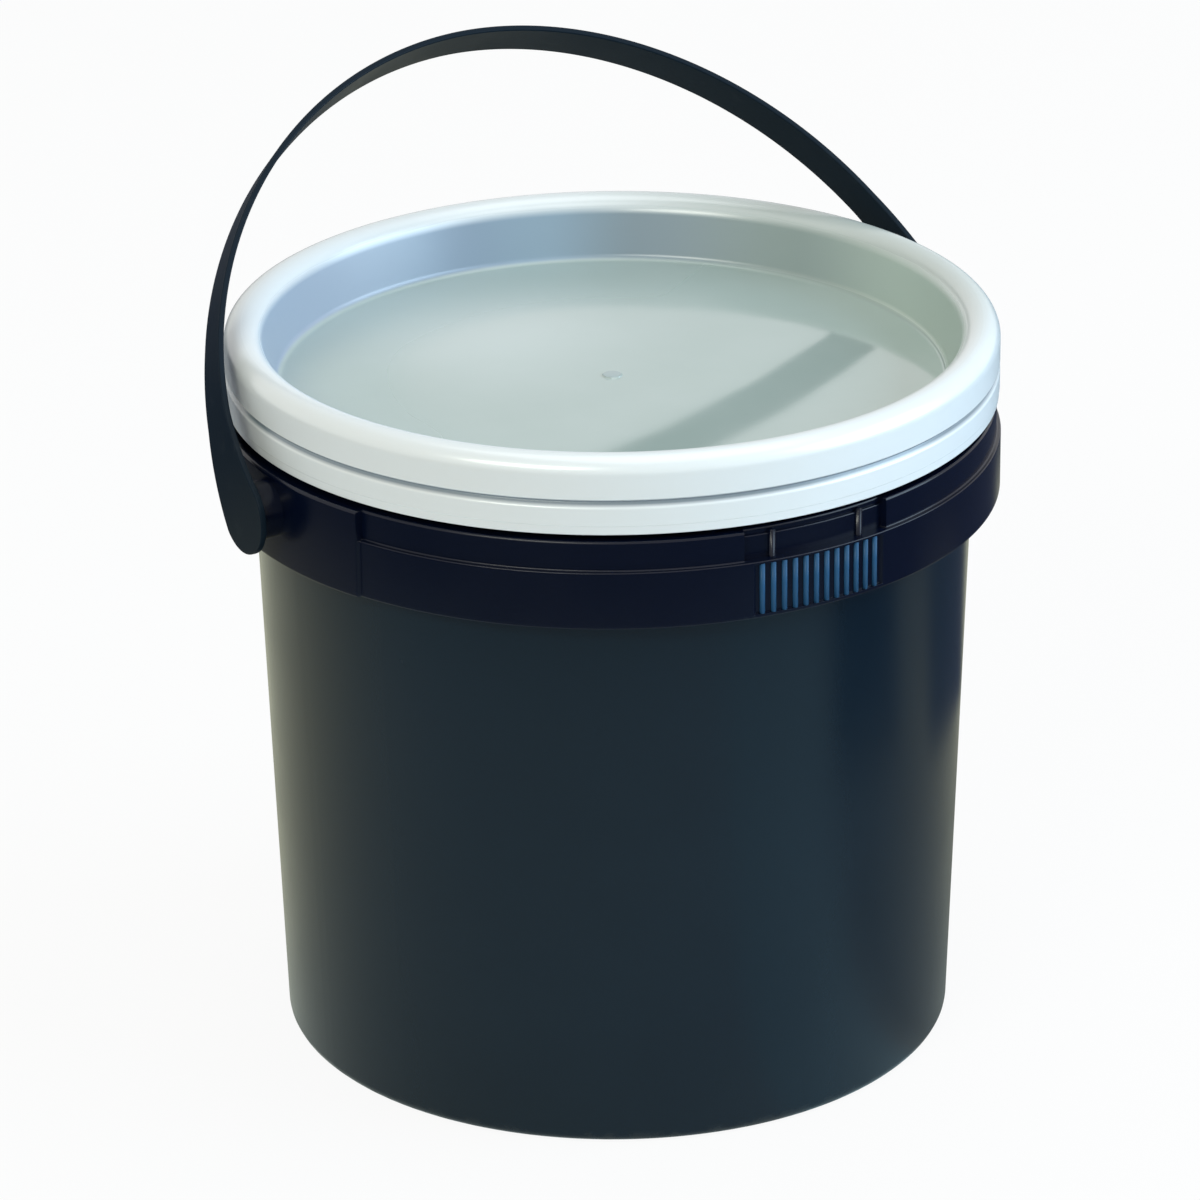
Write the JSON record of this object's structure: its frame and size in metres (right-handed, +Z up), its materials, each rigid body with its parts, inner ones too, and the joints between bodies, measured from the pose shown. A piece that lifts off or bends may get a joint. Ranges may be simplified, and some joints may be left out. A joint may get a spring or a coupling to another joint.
{
  "type": "aerated bait bucket",
  "caption": "Round snap-lid bait pail with a hanging collar, a leaning strap handle on side pivots, and a battery air pump with tube and air stone inside.",
  "frame": {"origin": "centre of the foot, on the surface that the pail stands on", "axes": "+Z up; the handle turns about a line along X; the finger notch and grip ribs face -Y; the air pump hangs on the inside at +Y"},
  "size_m": [0.2466, 0.227, 0.2819],
  "materials": {
    "pail_plastic": "moulded black polypropylene with a soft gloss",
    "lid_plastic": "moulded milky white polypropylene, glossy panel",
    "strap_plastic": "moulded black polypropylene, satin",
    "case_plastic": "fine-textured grey",
    "screw_steel": "bright",
    "seal_rubber": "matt",
    "cell_wrap": "plain printed wrap with no lettering",
    "contact_metal": "plated spring strip",
    "switch_plastic": "matt black",
    "crank_brass": "turned",
    "clear_plastic": "natural, slightly milky",
    "tube_silicone": "translucent silicone",
    "stone_blue": "bonded mineral grit"
  },
  "bodies": {
    "pail": {"bucket": "pail_plastic", "aerator_bracket": "case_plastic", "bracket_screws": "screw_steel", "case_back": "case_plastic", "case_front": "case_plastic", "case_seal": "seal_rubber", "case_screws": "screw_steel", "cell_left": "cell_wrap", "cell_right": "cell_wrap", "contact_bridge": "contact_metal", "contact_leaves": "contact_metal", "switch_body": "switch_plastic", "motor": "screw_steel", "arm_pin": "screw_steel", "diaphragm": "seal_rubber", "pump_head": "clear_plastic", "valve_flaps": "seal_rubber", "outlet_barb": "clear_plastic", "air_tube": "tube_silicone", "tube_clips": "clear_plastic", "air_stone": "stone_blue"},
    "lid": {"lid": "lid_plastic"},
    "handle": {"handle": "strap_plastic"},
    "battery_door": {"battery_door": "case_plastic"},
    "switch_slider": {"switch_slider": "switch_plastic"},
    "crank": {"crank": "crank_brass"},
    "rocker_arm": {"rocker_arm": "clear_plastic"}
  },
  "joints": [
    {"name": "handle_swing", "type": "hinge", "parent": "pail", "child": "handle", "pos_m": [0, 0, 0.1834], "axis": [1, 0, 0], "range_deg": [-74, 161]},
    {"name": "lid_lift", "type": "slide", "parent": "pail", "child": "lid", "axis": [0, 0, 1], "range_m": [0, 0.012]},
    {"name": "battery_door_slide", "type": "slide", "parent": "pail", "child": "battery_door", "axis": [0, 0, -1], "range_m": [0, 0.058]},
    {"name": "switch_slide", "type": "slide", "parent": "pail", "child": "switch_slider", "axis": [1, 0, 0], "range_m": [0, 0.004]},
    {"name": "crank_spin", "type": "hinge", "parent": "pail", "child": "crank", "pos_m": [-0.024, 0.06, 0.1327], "axis": [0, 1, 0], "continuous": true},
    {"name": "arm_rock", "type": "hinge", "parent": "pail", "child": "rocker_arm", "pos_m": [-0.005, 0.06, 0.1447], "axis": [0, 1, 0], "range_deg": [-2.4, 2.4], "deforming": ["diaphragm"]}
  ]
}
